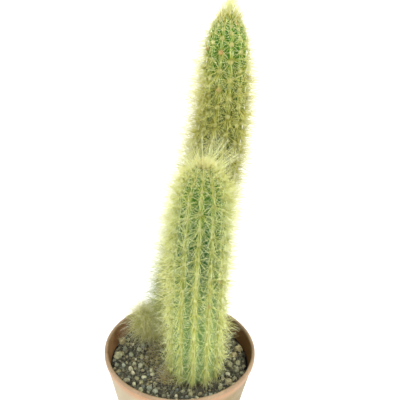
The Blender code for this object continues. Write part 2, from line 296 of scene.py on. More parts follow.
def pot_material():
    """Satin plastic. The wall's section tells the inside from the outside: radius less the taper."""
    made, tree, shader = new_material("clay_plastic", Specular_IOR_Level=0.3)
    _, parts = object_place(tree)
    x, y, z = (parts.outputs[axis] for axis in "XYZ")
    flat = new_node(tree, "ShaderNodeCombineXYZ", {"X": x, "Y": y})
    radius = new_node(tree, "ShaderNodeVectorMath", {0: flat.outputs["Vector"]}, operation="LENGTH")
    slant = new_node(tree, "ShaderNodeMath", {0: z, 1: WALL_TAPER}, operation="MULTIPLY")
    across = new_node(
        tree, "ShaderNodeMath", {0: radius.outputs["Value"], 1: slant.outputs["Value"]}, operation="SUBTRACT"
    )
    outside = soft_mask(tree, across.outputs["Value"], *[wall_radius(0) - depth for depth in SKIN_DEPTHS])
    # Painted shade on the pot's right side, inside and out, rising from 5 mm to 42 mm right of the middle
    shaded_right = soft_mask(tree, x, *SHADED_RIGHT_FROM)
    mask, height = mottled(tree, *POT_MOTTLE)
    # Painted shade: the inside of the wall made dark, darker still on the right
    inner_shade = blended(tree, shaded_right, blended(tree, mask, *INNER_SHADE), INNER_SHADE_AT_RIGHT)
    # Painted shadow: the inside of the wall near black just under the soil's level, where the soil has
    # shrunk from it
    inner_shade = blended(tree, soft_mask(tree, z, *GAP_SHADOW_FROM), inner_shade, GAP_SHADOW)
    # Painted light: the outside of the wall pale tan below the bead, less so on the right, giving way to the
    # foot's clay lower down
    outer_light = blended(tree, shaded_right, blended(tree, mask, *OUTER_LIGHT), OUTER_SHADE_AT_RIGHT)
    outer_light = blended(tree, soft_mask(tree, z, *FOOT_FROM), outer_light, blended(tree, mask, *FOOT_CLAY))
    wall = blended(tree, soft_mask(tree, z, *OUTER_LIGHT_FROM), blended(tree, mask, *CLAY), outer_light)
    wall = blended(tree, outside, inner_shade, wall)
    colour = blended(tree, soft_mask(tree, z, *LIP_FROM), wall, blended(tree, mask, *LIP))
    satin = new_node(tree, "ShaderNodeMapRange", {"Value": mask, "To Min": 0.42, "To Max": 0.6})
    tree.links.new(satin.outputs["Result"], shader.inputs["Roughness"])
    finish(tree, shader, colour, height, POT_GRAIN)
    return made


def pot_section():
    """Half of the pot's section: along the floor, up the inside, over the bead and down the outside."""
    bead = RIM_WIDTH / 2
    under_bead = POT_HEIGHT - RIM_HEIGHT
    floor_edge = inner_radius(POT_FLOOR) - FLOOR_FILLET
    return [
        (0, POT_FLOOR),
        (DRAIN_CIRCLE, POT_FLOOR),
        *arc(floor_edge, POT_FLOOR + FLOOR_FILLET, FLOOR_FILLET, -90, 0, FILLET_STEPS),
        (inner_radius(MID_WALL), MID_WALL),
        (inner_radius(under_bead), under_bead),
        *arc(RIM_RADIUS - bead, POT_HEIGHT - bead, bead, 180, 0),
        *arc(RIM_RADIUS - bead / 2, under_bead + bead / 2, bead / 2, 0, -90, BEVEL_STEPS),
        *[(wall_radius(under_bead) + out, under_bead + up) for out, up in LEDGE],
        (wall_radius(MID_WALL), MID_WALL),
        *arc(wall_radius(FOOT_BEVEL) - FOOT_BEVEL, FOOT_BEVEL, FOOT_BEVEL, 0, -90, BEVEL_STEPS),
        (DRAIN_CIRCLE, 0),
        (0, 0),
    ]


pot = new_object("pot_shell", turned_shape(pot_section()), pot_material())
drill = bmesh.new()
for i in range(DRAIN_HOLES):
    turn = tau * i / DRAIN_HOLES
    at = Matrix.Translation((DRAIN_CIRCLE * cos(turn), DRAIN_CIRCLE * sin(turn), POT_FLOOR / 2))
    bmesh.ops.create_cone(
        drill, cap_ends=True, segments=DRAIN_STEPS, radius1=DRAIN_RADIUS, radius2=DRAIN_RADIUS,
        depth=4 * POT_FLOOR, matrix=at,
    )
cut(pot, new_object("drill", drill, white))
pot.data.set_sharp_from_angle(angle=SMOOTH_ANGLE)
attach(pot, "root")
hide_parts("pot")

# The stems: ribbed columns with a round top, and an areole every 10 or 11 mm down each rib, low and high in
# turn. How each one stands, leans and swells is set here, and its flesh, wool and spines grow from that.
SOIL_LEVEL = 78 * MM
FLARE = 4 * MM
DOME_ROWS = 5
RIB_CREST = 0.975
RIB_DEPTH = 0.21
RIB_SHARPNESS = 1.7
RIB_FADE = 0.35
TUBERCLE = 0.022
TUBERCLE_FADE = 6 * MM
LEAST_AREOLE = 0.4
WRINKLE = 0.22 * MM
WRINKLE_SIZE = 5 * MM


def between(stops, at):
    """The values that a list of stops gives at a place, taken evenly from the nearest two."""
    for (low, *first), (high, *second) in zip(stops, stops[1:]):
        if at <= high:
            share = max(0, at - low) / (high - low)
            return [a + (b - a) * share for a, b in zip(first, second)]
    return list(stops[-1][1:])


class Stem:
    """One stem: where it stands, how its middle line runs, how thick it is and how it is ribbed.

    The lean is two heights, and how far the middle line moves to +X between them. The areoles end where the
    dome's rounding is the crown's. The stagger is how far under their row they sit, on even and on odd ribs.
    Lengths are given in millimetres, and the turn in degrees.
    """

    def __init__(self, name, foot, top, lean, radii, dome, crown, ribs, rows, stagger, turn):
        self.name = name
        self.foot = Vector([part * MM for part in foot])
        self.top = top * MM
        self.lean = [part * MM for part in lean]
        self.radii = [(z * MM, radius * MM) for z, radius in radii]
        self.dome = dome * MM
        self.crown = crown
        self.ribs = ribs
        self.rows = rows
        self.stagger = stagger
        self.turn = radians(turn)
        self.shoulder = self.top - self.dome
        self.pitch = (self.shoulder - SOIL_LEVEL - FLARE) / rows

    def middle(self, z):
        """A point on the middle line, which moves sideways in one smooth S between two heights."""
        low, high, way = self.lean
        share = min(1, max(0, (z - low) / (high - low)))
        return Vector((self.foot.x + way * share * share * (3 - 2 * share), self.foot.y, z))

    def column_radius(self, z):
        """The radius before the top rounds it off."""
        return between(self.radii, z)[0]

    def across_rib(self, turned):
        """0 on a rib's crest and 1 at the bottom of the furrow beside it."""
        rib = (turned - self.turn) * self.ribs / tau
        return 2 * abs(rib - round(rib))

    def row_height(self, row):
        """The height of a row of areoles, counted down from the shoulder. Above it they crowd to the tip."""
        if row >= 0:
            return self.shoulder - self.pitch * row
        return self.top - self.dome * exp(self.pitch * row / self.dome)

    def row_at(self, z):
        """The row, whole or between two, at a height."""
        if z <= self.shoulder:
            return (self.shoulder - z) / self.pitch
        return self.dome / self.pitch * log(max(0.01, (self.top - z) / self.dome))

    def tubercle(self, z, turned):
        """The swelling under each areole, from -1 between two of them to 1 at one."""
        rib = round((turned - self.turn) * self.ribs / tau)
        fade = min(1, max(0, (self.top - z) / self.dome)) * min(1, max(0, (z - SOIL_LEVEL) / TUBERCLE_FADE))
        return fade * cos(tau * (self.row_at(z) - self.stagger[rib % 2]))

    def rounding(self, z):
        """1 on the column, and less in the dome, down to 0 at the tip."""
        return sqrt(1 - max(0, 1 - max(0, self.top - z) / self.dome) ** 2)

    def skin(self, z, turned):
        """A point on the skin."""
        up = (self.middle(z + MM) - self.middle(z - MM)).normalized()
        rounding = self.rounding(z)
        across = self.across_rib(turned)
        shallow = 1 - RIB_FADE * (1 - rounding)
        ribbed = RIB_CREST - RIB_DEPTH * shallow * across**RIB_SHARPNESS
        ribbed += TUBERCLE * (1 - across) * self.tubercle(z, turned)
        radius = self.column_radius(z) * rounding * ribbed
        side = Vector((up.z, 0, -up.x))
        return self.middle(z) + radius * (cos(turned) * side + sin(turned) * Vector((0, 1, 0)))

    def skin_frame(self, z, turned):
        """A point on the skin, with the ways around the stem, up along it and straight out of it."""
        step = 0.2 * MM
        turn_step = step / self.column_radius(z)
        along = (self.skin(z + step, turned) - self.skin(z - step, turned)).normalized()
        around = (self.skin(z, turned + turn_step) - self.skin(z, turned - turn_step)).normalized()
        return self.skin(z, turned), around, along, around.cross(along).normalized()

    def share(self, z):
        """0 at the soil and 1 at the top."""
        return (z - SOIL_LEVEL) / (self.top - SOIL_LEVEL)

    def distance(self, point):
        """How far a point is from the column, taken as round."""
        z = min(point.z, self.shoulder)
        return (point - self.middle(z)).length - self.column_radius(z)

    def areoles(self):
        """Each areole's height, turn round the stem and size: 1 on the column and less in the dome."""
        for row in range(-DOME_ROWS, self.rows):
            for rib in range(self.ribs):
                z = self.row_height(row + self.stagger[rib % 2])
                size = LEAST_AREOLE + (1 - LEAST_AREOLE) * self.rounding(z)
                if self.rounding(z) > self.crown:
                    yield z, self.turn + tau * rib / self.ribs, size


TALL = Stem(
    name="tall",
    foot=(0, 27, 0),
    top=314,
    lean=(92, 272, 23),
    radii=((58, 9.5), (78, 14.2), (82, 15), (130, 16.6), (190, 16.4), (215, 15.4), (250, 13.8), (292, 12)),
    dome=22,
    crown=0.52,
    ribs=12,
    rows=19,
    stagger=(0.8, 0.27),
    turn=11,
)
SHORT = Stem(
    name="short",
    foot=(10.5, -13, 0),
    top=235,
    lean=(150, 234, 1.5),
    radii=((58, 11), (78, 15.8), (82, 16.6), (130, 17), (180, 16.5), (211, 14.4)),
    dome=24,
    crown=0.32,
    ribs=12,
    rows=13,
    stagger=(0.56, 0.04),
    turn=-3,
)
OFFSET = Stem(
    name="offset",
    foot=(-22.5, 23, 0),
    top=102,
    lean=(78, 104, -4),
    radii=((58, 2.5), (78, 5.3), (82, 6), (94, 6.4)),
    dome=7,
    crown=0.45,
    ribs=8,
    rows=2,
    stagger=(0.25, 0.75),
    turn=5,
)
STEMS = (TALL, SHORT, OFFSET)

# The soil: dark peat that fills the pot to 12 mm under its rim, in lumps, lower along the wall, which it has
# shrunk from, and with one crack at the right. It is one turned plug, whose top is raised and sunk by noise.
BED_RADIUS = inner_radius(SOIL_LEVEL)
SOIL_GAP = 0.3 * MM
SOIL_SINK = 0.4 * MM
SOIL_RELIEF = 1.1 * MM
SOIL_WAVE = 7 * MM
SOIL_LUMPS = 0.7 * MM
SOIL_LUMP_WAVE = 2.2 * MM
SOIL_SHRINK = 2.2 * MM
SOIL_SHRINK_WIDTH = 5 * MM
SOIL_CRACK = 8 * MM
SOIL_CRACK_AT = Vector((45.5 * MM, -2 * MM, 0))
SOIL_CRACK_SIZE = 11 * MM
SOIL_CRACK_WIDTH = 4 * MM
SOIL_RINGS = 70
SOIL_FOOT_BEVEL = 3 * MM
# How rough the lumps' noise is, how much finer each layer of it, and how many layers
SOIL_NOISE = (0.8, 2, 3)
PEAT_COLOURS = ((0.034, 0.034, 0.024), (0.18, 0.175, 0.11))
PEAT_MOTTLE = (320, 2600)
PEAT_GRAIN = 0.7 * MM


def soil_height(x, y):
    """How high the soil's top is at a place."""
    place = Vector((x, y, 0))
    wave = SOIL_RELIEF * noise.noise(place / SOIL_WAVE)
    lumps = SOIL_LUMPS * noise.fractal(place / SOIL_LUMP_WAVE, *SOIL_NOISE)
    edge = BED_RADIUS - place.length
    shrink = SOIL_SHRINK * max(0, 1 - edge / SOIL_SHRINK_WIDTH) ** 2
    near = max(0, 1 - (place - SOIL_CRACK_AT).length / SOIL_CRACK_SIZE)
    crack = SOIL_CRACK * near**0.5 * max(0, 1 - edge / SOIL_CRACK_WIDTH)
    return SOIL_LEVEL - SOIL_SINK + wave + lumps - shrink - crack


def soil_material():
    made, tree, shader = new_material("peat", Roughness=0.95)
    mask, height = mottled(tree, *PEAT_MOTTLE)
    finish(tree, shader, blended(tree, mask, *PEAT_COLOURS), height, PEAT_GRAIN)
    return made


PEAT = soil_material()
soil_bottom = POT_FLOOR + SOIL_GAP
rings = [((BED_RADIUS - SOIL_GAP) * i / SOIL_RINGS, SOIL_LEVEL) for i in range(SOIL_RINGS + 1)]
foot = [(inner_radius(soil_bottom) - SOIL_FOOT_BEVEL, soil_bottom), (0, soil_bottom)]
bed = turned_shape(rings + foot)
for vert in bed.verts:
    if vert.co.z > SOIL_LEVEL - MM:
        vert.co.z = soil_height(vert.co.x, vert.co.y)
soil = new_object("soil_bed", bed, PEAT)
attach(soil, "root")
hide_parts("soil")

# The grit: pale pumice and grey and tan stone in grains of 1 to 7 mm, half sunk in the peat, and crumbs of
# the peat itself. Each is a ball with worn flats, pushed out of round by noise, squashed and turned.
GRAIN_CLEAR = 0.5 * MM
GRAIN_FLATS = 7
GRAIN_FLAT_AT = 0.72
GRAIN_WEAR = 0.85
GRAIN_LUMPS = 1.3
GRAIN_NOISE = (0.8, 2.1, 3)
STEM_ROOM = 0.93
PLACE_TRIES = 40


def add_part(whole, part):
    """Adds a small bmesh to the whole and frees it."""
    mesh = mesh_from("part", part)
    whole.from_mesh(mesh)
    bpy.data.meshes.remove(mesh)


def grain(draw, place, size, fineness, roughness, squash=(0.65, 1), shade=None):
    """One grain: a ball with lumps and a few worn flats. Its points carry one tint for the whole grain."""
    stone = bmesh.new()
    tint = stone.verts.layers.float.new("tint")
    bmesh.ops.create_icosphere(stone, subdivisions=fineness, radius=1)
    shift = Vector([draw.uniform(-50, 50) for _ in range(3)])
    shade = draw.random() if shade is None else shade
    flats = [Vector([draw.gauss(0, 1) for _ in range(3)]).normalized() for _ in range(GRAIN_FLATS)]
    for vert in stone.verts:
        for flat in flats:
            vert.co -= flat * max(0, vert.co.dot(flat) - GRAIN_FLAT_AT) * GRAIN_WEAR
        vert.co *= 1 + roughness * noise.fractal(vert.co * GRAIN_LUMPS + shift, *GRAIN_NOISE)
        vert[tint] = shade
    sides = (size, size * draw.uniform(*squash), size * draw.uniform(*squash))
    bmesh.ops.scale(stone, verts=stone.verts, vec=sides)
    turned = Euler([draw.uniform(0, tau) for _ in range(3)]).to_matrix()
    bmesh.ops.rotate(stone, verts=stone.verts, matrix=turned)
    bmesh.ops.translate(stone, verts=stone.verts, vec=place)
    return stone


class GrainBed:
    """Keeps the grains clear of each other, of the stems' feet and of the pot's wall."""

    def __init__(self):
        self.placed = []

    def free(self, x, y, size, overlap):
        if hypot(x, y) > BED_RADIUS - size - GRAIN_CLEAR:
            return False
        for stem in STEMS:
            room = stem.column_radius(SOIL_LEVEL) * STEM_ROOM + size
            if hypot(x - stem.foot.x, y - stem.foot.y) < room:
                return False
        return all(hypot(x - a, y - b) > overlap * (size + s) for a, b, s in self.placed)

    def drop(self, draw, whole, x, y, size, lift, **looks):
        """Lays one grain on the peat, sunk or raised by a share of its size."""
        self.placed.append((x, y, size))
        z = soil_height(x, y) + size * draw.uniform(*lift)
        add_part(whole, grain(draw, (x, y, z), size, **looks))

    def scatter(self, draw, whole, count, sizes, overlap, lift, **looks):
        """Drops up to that many grains where there is room."""
        for _ in range(count):
            size = draw.uniform(*sizes)
            for _ in range(PLACE_TRIES):
                radius = BED_RADIUS * sqrt(draw.random())
                turn = draw.uniform(0, tau)
                x, y = radius * cos(turn), radius * sin(turn)
                if self.free(x, y, size, overlap):
                    self.drop(draw, whole, x, y, size, lift, **looks)
                    break


def colour_ramp(tree, factor, stops):
    """A colour read from these stops, each a place from 0 to 1 with its colour."""
    ramp = new_node(tree, "ShaderNodeValToRGB", {"Fac": factor})
    spread = ramp.color_ramp.elements
    while len(spread) < len(stops):
        spread.new(0.5)
    for element, (place, colour) in zip(spread, stops):
        element.position = place
        element.color = (*colour, 1)
    return ramp.outputs["Color"]


STONE_MOTTLE = (500, 2200)
DIRT = ((0.5, 0.49, 0.4), (1.15, 1.15, 1.02))


def grain_material(name, stops, bump_depth):
    """Stone coloured by each grain's tint, along these stops, with pits and a fine grain."""
    made, tree, shader = new_material(name, Roughness=0.9)
    tint = new_node(tree, "ShaderNodeAttribute", attribute_name="tint").outputs["Fac"]
    mask, height = mottled(tree, *STONE_MOTTLE)
    colour = blended(tree, 1, colour_ramp(tree, tint, stops), blended(tree, mask, *DIRT), "MULTIPLY")
    finish(tree, shader, colour, height, bump_depth)
    return made


PUMICE_STOPS = (
    (0, (0.38, 0.37, 0.22)), (0.25, (0.58, 0.58, 0.39)), (0.5, (0.38, 0.42, 0.35)),
    (0.75, (0.52, 0.45, 0.26)), (1, (0.7, 0.69, 0.53)),
)
GRIT_STOPS = (
    (0, (0.1, 0.098, 0.075)), (0.4, (0.29, 0.28, 0.185)), (0.65, (0.19, 0.22, 0.21)),
    (0.85, (0.38, 0.335, 0.2)), (1, (0.56, 0.54, 0.4)),
)
# The stones that catch the eye: their place and radius in millimetres, and their tint
STONES = (
    (-44, 1, 3.3, 0.25), (-43, 17, 3.4, 0.75), (-38, 25, 2.1, 0.5), (-39, -9, 1.7, 0.5), (-31, -2, 1.1, 1),
    (-27, 1, 1.9, 0.1), (-31.5, -16, 1.7, 0.95), (-23.5, -19.5, 2, 0.3), (-18, -17, 1.9, 0.2),
    (-25, -25, 2.2, 0.05), (-19, -30, 2.1, 0.5), (-15, -33, 2.3, 0.45), (-35, -23, 2.2, 0.6),
    (42, 13, 3.3, 0.75), (35.5, -4.5, 2.5, 0.1), (41, -2, 2.2, 0.2), (34, -13.5, 2, 1),
    (34.5, -21, 3.1, 0.7), (38.5, 5, 3, 0.75), (32, 3.5, 2.2, 0.25), (40, -9.5, 2.3, 0.6),
    (28.5, -27, 1.9, 0.1), (22, -34, 2, 0.5), (13, -37, 1.7, 0.95),
)
bed_room = GrainBed()
draw = random.Random(21)
pumice = bmesh.new()
for x, y, size, shade in STONES:
    bed_room.drop(
        draw, pumice, x * MM, y * MM, size * MM, lift=(0.2, 0.5),
        fineness=4, roughness=0.22, squash=(0.8, 1), shade=shade,
    )
bed_room.scatter(
    draw, pumice, count=85, sizes=(1.2 * MM, 2.4 * MM), overlap=0.85, lift=(0, 0.5),
    fineness=3, roughness=0.35,
)
pumice = new_object("pumice", pumice, grain_material("pumice", PUMICE_STOPS, bump_depth=0.5 * MM))
grit = bmesh.new()
bed_room.scatter(
    draw, grit, count=400, sizes=(0.7 * MM, 1.8 * MM), overlap=0.8, lift=(0.1, 0.7),
    fineness=2, roughness=0.35,
)
grit = new_object("grit", grit, grain_material("grit", GRIT_STOPS, bump_depth=0.3 * MM))
crumbs = bmesh.new()
bed_room.scatter(
    draw, crumbs, count=900, sizes=(0.5 * MM, 1.4 * MM), overlap=0.5, lift=(0, 0.8),
    fineness=2, roughness=0.5,
)
crumbs = new_object("peat_crumbs", crumbs, PEAT)
for piece in (pumice, grit, crumbs):
    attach(piece, "root")

# The flesh: each stem's green ribbed skin, deepest at its growing top and in its furrows, paler and yellower
# towards its foot, where dust from the soil lies on it. A grid of points is wrapped round the stem, and its
# seam and top are merged.
FLESH_COLUMNS_PER_RIB = 12
FLESH_STEP = 1.2 * MM
FLESH_DOME_ROWS = 22
FLESH_DEPTH = 8 * MM
BAKE_MAP = "OFBake"
FURROW_EDGE = (0.08, 0.5)
FLESH_MOTTLE = (160, 1500)
FLESH_GRAIN = 0.15 * MM
FLESH_SHADES = ((0.8, 0.82, 0.76), (1.16, 1.12, 1.08))
DUST = (0.17, 0.15, 0.08)
DUST_FROM = (SOIL_LEVEL + 7 * MM, SOIL_LEVEL + 0.5 * MM)


def flesh_heights(stem):
    """The heights of the grid's rows: close in the dome, even below it."""
    turns = [pi / 2 * i / FLESH_DOME_ROWS for i in range(FLESH_DOME_ROWS)]
    dome = [stem.top - stem.dome * (1 - cos(turn)) for turn in turns]
    lowest = SOIL_LEVEL - FLESH_DEPTH
    count = round((stem.shoulder - lowest) / FLESH_STEP)
    return (dome + [stem.shoulder - (stem.shoulder - lowest) * i / count for i in range(count + 1)])[::-1]


def flesh_shape(stem):
    heights = flesh_heights(stem)
    columns = stem.ribs * FLESH_COLUMNS_PER_RIB
    shape = bmesh.new()
    shape.loops.layers.uv.new(BAKE_MAP)
    furrow = shape.verts.layers.float.new("furrow")
    bmesh.ops.create_grid(shape, x_segments=columns, y_segments=len(heights) - 1, size=1, calc_uvs=True)
    for vert in shape.verts:
        row = round((vert.co.y + 1) / 2 * (len(heights) - 1))
        turned = pi * (vert.co.x + 1)
        z = heights[row]
        vert[furrow] = stem.across_rib(turned)
        place = stem.skin(z, turned)
        out = (place - stem.middle(z)).normalized() if z < stem.top else Vector((0, 0, 0))
        vert.co = place + out * WRINKLE * noise.noise(place / WRINKLE_SIZE)
    bmesh.ops.remove_doubles(shape, verts=shape.verts, dist=MERGE_WITHIN)
    open_edges = [edge for edge in shape.edges if edge.is_boundary]
    bmesh.ops.holes_fill(shape, edges=open_edges, sides=0)
    bmesh.ops.recalc_face_normals(shape, faces=shape.faces)
    return shape


def height_ramp(tree, z, stem, stops):
    """A colour for each share of the stem's height above the soil."""
    return colour_ramp(tree, soft_mask(tree, z, SOIL_LEVEL, stem.top, "LINEAR"), stops)


def flesh_material(stem, crest_stops, furrow_stops):
    made, tree, shader = new_material("flesh_" + stem.name, Roughness=0.5, Specular_IOR_Level=0.18)
    _, parts = object_place(tree)
    z = parts.outputs["Z"]
    furrow = new_node(tree, "ShaderNodeAttribute", attribute_name="furrow").outputs["Fac"]
    crest = height_ramp(tree, z, stem, crest_stops)
    valley = height_ramp(tree, z, stem, furrow_stops)
    colour = blended(tree, soft_mask(tree, furrow, *FURROW_EDGE), crest, valley)
    mask, height = mottled(tree, *FLESH_MOTTLE)
    colour = blended(tree, 1, colour, blended(tree, mask, *FLESH_SHADES), "MULTIPLY")
    colour = blended(tree, soft_mask(tree, z, *DUST_FROM), colour, DUST)
    finish(tree, shader, colour, height, FLESH_GRAIN)
    return made


# Up each stem, by its share of height: the colours of the ribs' crests, then those of the furrows
FLESH_LOOKS = {
    "tall": (
        (
            (0, (0.24, 0.27, 0.09)), (0.45, (0.16, 0.18, 0.04)), (0.75, (0.17, 0.2, 0.03)),
            (1, (0.13, 0.3, 0.015)),
        ),
        (
            (0, (0.09, 0.12, 0.04)), (0.45, (0.045, 0.07, 0.015)), (0.75, (0.045, 0.08, 0.01)),
            (1, (0.05, 0.2, 0.008)),
        ),
    ),
    "short": (
        (
            (0, (0.4, 0.44, 0.13)), (0.3, (0.3, 0.35, 0.08)), (0.7, (0.19, 0.25, 0.04)),
            (1, (0.12, 0.25, 0.012)),
        ),
        (
            (0, (0.27, 0.41, 0.155)), (0.3, (0.16, 0.28, 0.08)), (0.65, (0.022, 0.09, 0.022)),
            (0.88, (0.05, 0.15, 0.012)), (1, (0.04, 0.15, 0.006)),
        ),
    ),
    # The offset's skin is painted a pale khaki, painted light that lifts the shadow the other stems cast on
    # it
    "offset": (
        ((0, (0.72, 0.68, 0.36)), (1, (0.7, 0.69, 0.34))),
        ((0, (0.6, 0.57, 0.29)), (1, (0.58, 0.58, 0.26))),
    ),
}
for stem in STEMS:
    skin_finish = flesh_material(stem, *FLESH_LOOKS[stem.name])
    flesh = new_object("flesh_" + stem.name, flesh_shape(stem), skin_finish)
    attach(flesh, "root")
    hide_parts("offset" if stem is OFFSET else "stem_" + stem.name)

# The areoles: a round cushion of felt on each tubercle, 2 to 4 mm across, golden khaki and in places rusty,
# with a fuzz of short wool standing from it. Each is a squashed ball with short three-sided hairs.
WOOL_HEIGHT = 0.5
WOOL_SINK_MM = 0.15
WOOL_FLUFF_MM = 0.22
WOOL_FLUFF_SIZE = 0.6 * MM
WOOL_HAIRS = 24
WOOL_HAIR = (0.9 * MM, 1.7 * MM)
WOOL_HAIR_LEAN = (15, 85)
WOOL_HAIR_AT = 0.75
HAIR_RADIUS = 0.13 * MM
RUSTY_SHARE = 0.06
RUSTY_TINT = (0.8, 0.95)
WOOL_TINT_STRAY = 0.06
# On the bake map a cushion runs from its rim's place to its top's, and spreads a little along and across
CUSHION_RIM = 0.1
CUSHION_RISE = 0.5
CUSHION_SPREAD = (0.04, 0.03)
# A hair or a spine runs there from its root's place to its tip's, with its corners spread a little round
# them. Its place across is its tint, kept off the map's edges.
ROOT_PLACE = 0.04
TIP_PLACE = 0.96
MAP_CORNERS = ((-0.02, -0.012), (0.02, 0), (-0.02, 0.012), (0, 0))
TINT_MARGIN = 0.03
# Up each stem, by its share of height: the cushion's radius and its tint
WOOL_LOOKS = {
    "tall": ((0, 1.4 * MM, 0.15), (0.7, 1.5 * MM, 0.25), (0.85, 1.8 * MM, 0.45), (1, 1.4 * MM, 0.45)),
    "short": ((0, 1.2 * MM, 0.05), (0.6, 1.3 * MM, 0.15), (0.85, 1.2 * MM, 0.35), (1, 1.1 * MM, 0.45)),
    "offset": ((0, 1 * MM, 0.3), (1, 1 * MM, 0.3)),
}


def mapped_shape():
    """An empty shape with a bake map."""
    shape = bmesh.new()
    return shape, shape.loops.layers.uv.new(BAKE_MAP)


def upright(place, out, along):
    """The frame at a place on the skin, whose Z points out and Y up along the stem."""
    x = along.cross(out).normalized()
    y = out.cross(x).normalized()
    made = Matrix((x, y, out)).transposed().to_4x4()
    made.translation = place
    return made


def leaning(at, turn, lean):
    """The way that leans out of the skin by that angle, to that side of the areole. A quarter turn is up."""
    return at.to_3x3() @ Vector((cos(turn) * cos(lean), sin(turn) * cos(lean), sin(lean)))


def add_needle(shape, uv, start, way, length, thick, tint, root=ROOT_PLACE, tip=0):
    """A three-sided spike from the start along the way, whose tip keeps that share of its thickness."""
    frame_at = way.to_track_quat("Z", "Y").to_matrix().to_4x4()
    frame_at.translation = start + way * (length / 2)
    made = bmesh.ops.create_cone(
        shape, cap_ends=True, segments=3, radius1=thick, radius2=thick * tip, depth=length, matrix=frame_at
    )
    for i, vert in enumerate(made["verts"]):
        spot = TIP_PLACE if (vert.co - start).dot(way) > length / 2 else root
        aside = MAP_CORNERS[i // 2 if tip else i]
        for loop in vert.link_loops:
            loop[uv].uv = (spot + aside[0], tint + aside[1])


def held(tint):
    """The tint kept off the map's edges."""
    return min(1 - TINT_MARGIN, max(TINT_MARGIN, tint))


def wool_cushion(draw, stem, z, turned, size):
    """One areole's cushion: khaki, or in a few places gone rusty."""
    place, _, along, out = stem.skin_frame(z, turned)
    radius, tint = between(WOOL_LOOKS[stem.name], stem.share(z))
    radius *= size
    rusty = draw.random() < RUSTY_SHARE
    tint = draw.uniform(*RUSTY_TINT) if rusty else draw.gauss(tint, WOOL_TINT_STRAY)
    cushion, uv = mapped_shape()
    at = upright(place - out * WOOL_SINK_MM * MM, out, along)
    flat = Matrix.Diagonal((1, 1, WOOL_HEIGHT, 1))
    made = bmesh.ops.create_icosphere(cushion, subdivisions=2, radius=radius, matrix=at @ flat)
    for vert in made["verts"]:
        local = (at.inverted() @ vert.co) / radius
        fluff = noise.noise(vert.co / WOOL_FLUFF_SIZE)
        vert.co += (vert.co - place).normalized() * WOOL_FLUFF_MM * MM * fluff
        spot = CUSHION_RIM + CUSHION_RISE * max(0, local.z) + CUSHION_SPREAD[0] * local.y
        for loop in vert.link_loops:
            loop[uv].uv = (spot, held(tint + CUSHION_SPREAD[1] * local.x))
    for _ in range(WOOL_HAIRS):
        way = leaning(at, draw.uniform(0, tau), radians(draw.uniform(*WOOL_HAIR_LEAN)))
        start = place + (way - out * way.dot(out)) * radius * WOOL_HAIR_AT
        add_needle(cushion, uv, start, way, draw.uniform(*WOOL_HAIR) * size, HAIR_RADIUS, held(tint))
    return cushion


def mapped_colour(tree, families):
    """Coloured along each needle by its place on the map, and from one family to the next by its tint."""
    bake_map = new_node(tree, "ShaderNodeUVMap", uv_map=BAKE_MAP).outputs["UV"]
    spot = new_node(tree, "ShaderNodeSeparateXYZ", {"Vector": bake_map})
    along, tint = spot.outputs["X"], spot.outputs["Y"]
    colour = colour_ramp(tree, along, families[0])
    steps = len(families) - 1
    for i, stops in enumerate(families[1:]):
        towards = soft_mask(tree, tint, i / steps, (i + 1) / steps, "LINEAR")
        colour = blended(tree, towards, colour, colour_ramp(tree, along, stops))
    return colour


WOOL_FAMILIES = (
    ((0, (0.74, 0.77, 0.34)), (0.4, (0.8, 0.83, 0.4)), (1, (0.9, 0.93, 0.55))),
    ((0, (0.4, 0.4, 0.14)), (0.4, (0.46, 0.46, 0.18)), (1, (0.68, 0.66, 0.34))),
    ((0, (0.46, 0.25, 0.1)), (0.4, (0.54, 0.32, 0.14)), (1, (0.66, 0.5, 0.28))),
)
WOOL, wool_tree, wool_shader = new_material("wool", Roughness=0.9, Specular_IOR_Level=0.2)
wool_tree.links.new(mapped_colour(wool_tree, WOOL_FAMILIES), wool_shader.inputs["Base Color"])
draw = random.Random(8)
for stem in STEMS:
    whole = bmesh.new()
    for z, turned, size in stem.areoles():
        add_part(whole, wool_cushion(draw, stem, z, turned, size))
    wool = new_object("wool_" + stem.name, whole, WOOL)
    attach(wool, "root")

# The spines: from each areole fine pale radials spread like a star over the furrows, longer golden centrals
# stand out, others run along the rib's crest, and a haze of hair-fine ones blurs them all. Each is a thin
# three-sided spike, cut short where it would meet another stem, the soil or the pot.
RADIAL_THICK = (0.09 * MM, 0.13 * MM)
CENTRAL_THICK = (0.08 * MM, 0.13 * MM)
HAZE_THICK = (0.04 * MM, 0.08 * MM)
RADIAL_LEAN = (3, 28)
CENTRAL_LEAN = (22, 80)
HAZE_LEAN = (15, 90)
CREST_LEAN = (3, 45, 12)
# Their lengths, by the mean: the least, the most and, for some, the most usual
RADIAL_LENGTHS = (0.75, 1.15)
CENTRAL_LENGTHS = (0.5, 1.4, 0.95)
HAZE_LENGTHS = (0.5, 1.9, 1.05)
CREST_LENGTHS = (0.6, 1.3)
# How far they stray from their even turn or from the crest's line, and up or down the stem
RADIAL_STRAY = 0.1
CREST_STRAY = 0.24
CREST_SCATTER = 1 * MM
HAZE_SCATTER = 3 * MM
# Their tints, by the areole's own, and how much those stray
RADIAL_TINT = 0.4
RADIAL_TINT_STRAY = 0.06
CREST_TINT = -0.1
TINT_STRAY = 0.09
# Their roots and tips
HAZE_ROOT = 0.25
SPINE_TIP = 0.5
ROOT_LIFT_MM = 0.2
ROOT_RING = (0.2, 1.1)
# How much longer the spines are on each stem's left side than at its front, and shorter on its right
LOPSIDED = {"tall": 0.13, "short": 0, "offset": 0.3}
# The room they need
SPINE_REACH = RIM_RADIUS + 12 * MM
SPINE_CLEAR = 0.6 * MM
SPINE_MIDDLE = 0.6
LEAST_SPINE = 1.5 * MM
SPINE_TRIM = 0.8
